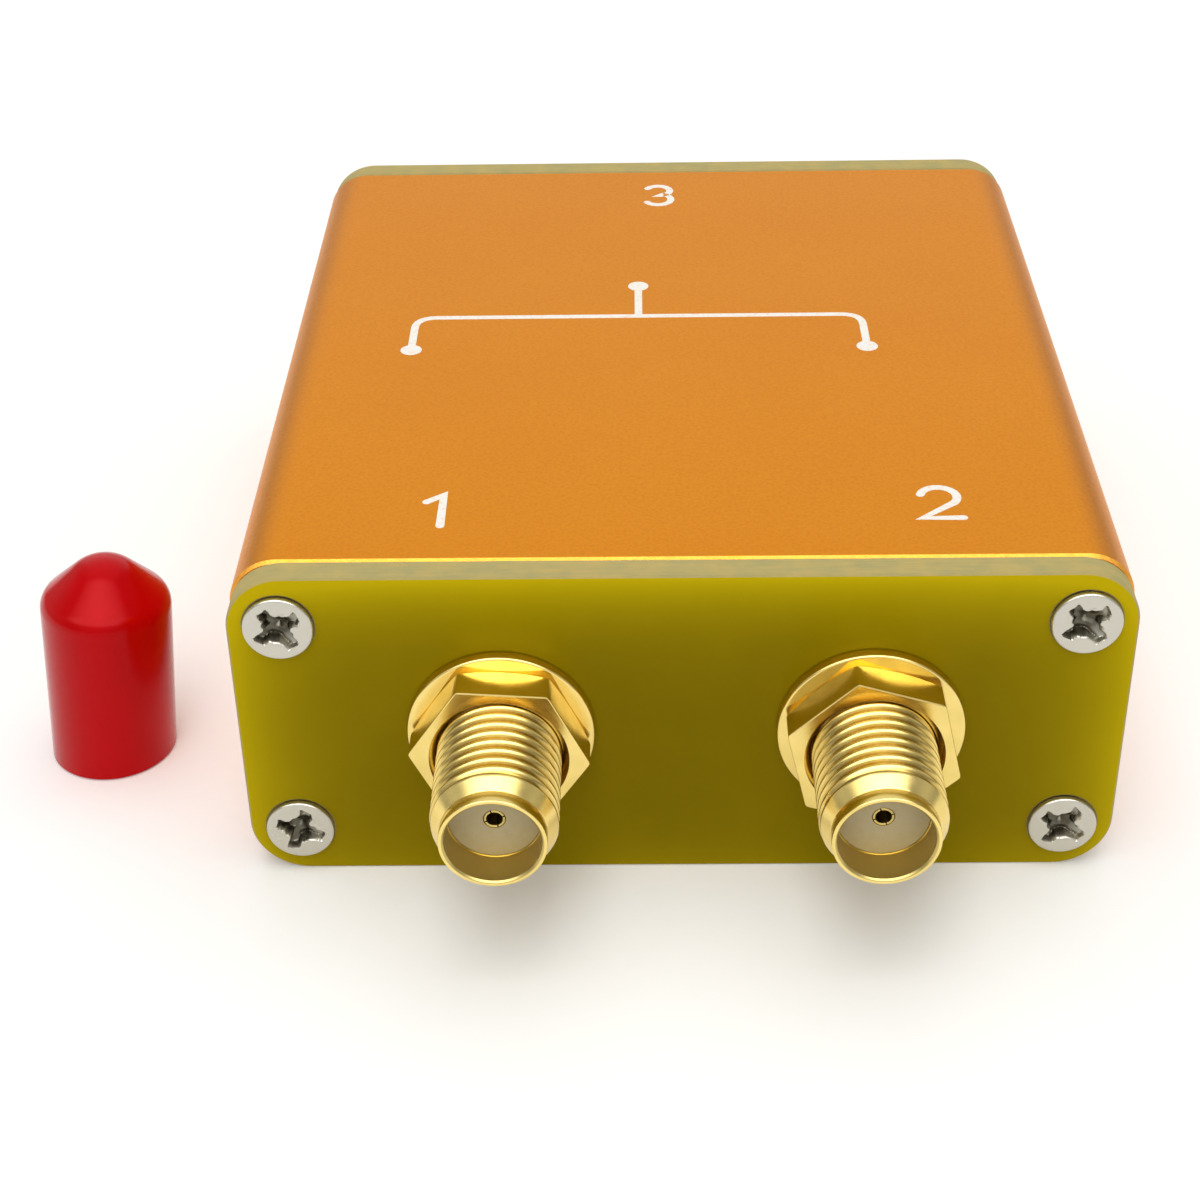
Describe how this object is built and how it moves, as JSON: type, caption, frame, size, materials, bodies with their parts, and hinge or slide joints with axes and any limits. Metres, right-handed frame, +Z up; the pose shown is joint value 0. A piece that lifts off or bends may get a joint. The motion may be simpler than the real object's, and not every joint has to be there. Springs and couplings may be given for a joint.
{
  "type": "rf diplexer",
  "caption": "Small extruded metal box with threaded coaxial sockets on both end plates, which splits an antenna line into high and low bands; a loose dust cap stands beside it.",
  "frame": {"origin": "centre of the case's flat underside, halfway along its length", "axes": "+Z up, -Y towards the end plate with two sockets, +X to the right seen from that end"},
  "size_m": [0.0587, 0.0698, 0.0185],
  "materials": {
    "anodised_case": "satin orange anodised",
    "laminate": "bare glass-epoxy laminate, glossy face, matt cut edge",
    "screw_nickel": "bright nickel plate",
    "gold_plate": "gold plated, turned",
    "fluoroplastic": "smooth off-white",
    "board": "green solder mask",
    "enamelled_wire": "enamelled copper",
    "chip_ceramic": "matt ceramic with tinned ends",
    "cap_vinyl": "glossy red dipped vinyl"
  },
  "bodies": {
    "root": {"case": "anodised_case", "front_plate": "laminate", "rear_plate": "laminate", "front_screw_1": "screw_nickel", "front_screw_2": "screw_nickel", "front_screw_3": "screw_nickel", "front_screw_4": "screw_nickel", "rear_screw_1": "screw_nickel", "rear_screw_2": "screw_nickel", "rear_screw_3": "screw_nickel", "rear_screw_4": "screw_nickel", "port_1_body": "gold_plate", "port_1_washer": "gold_plate", "port_1_nut": "gold_plate", "port_1_insulator": "fluoroplastic", "port_1_contact": "gold_plate", "port_2_body": "gold_plate", "port_2_washer": "gold_plate", "port_2_nut": "gold_plate", "port_2_insulator": "fluoroplastic", "port_2_contact": "gold_plate", "port_3_body": "gold_plate", "port_3_washer": "gold_plate", "port_3_nut": "gold_plate", "port_3_insulator": "fluoroplastic", "port_3_contact": "gold_plate", "circuit_board": "board", "coil_1": "enamelled_wire", "coil_2": "enamelled_wire", "coil_3": "enamelled_wire", "coil_4": "enamelled_wire", "capacitor_1": "chip_ceramic", "capacitor_2": "chip_ceramic", "capacitor_3": "chip_ceramic", "capacitor_4": "chip_ceramic", "capacitor_5": "chip_ceramic", "capacitor_6": "chip_ceramic", "capacitor_7": "chip_ceramic", "capacitor_8": "chip_ceramic", "dust_cap": "cap_vinyl"}
  },
  "joints": []
}
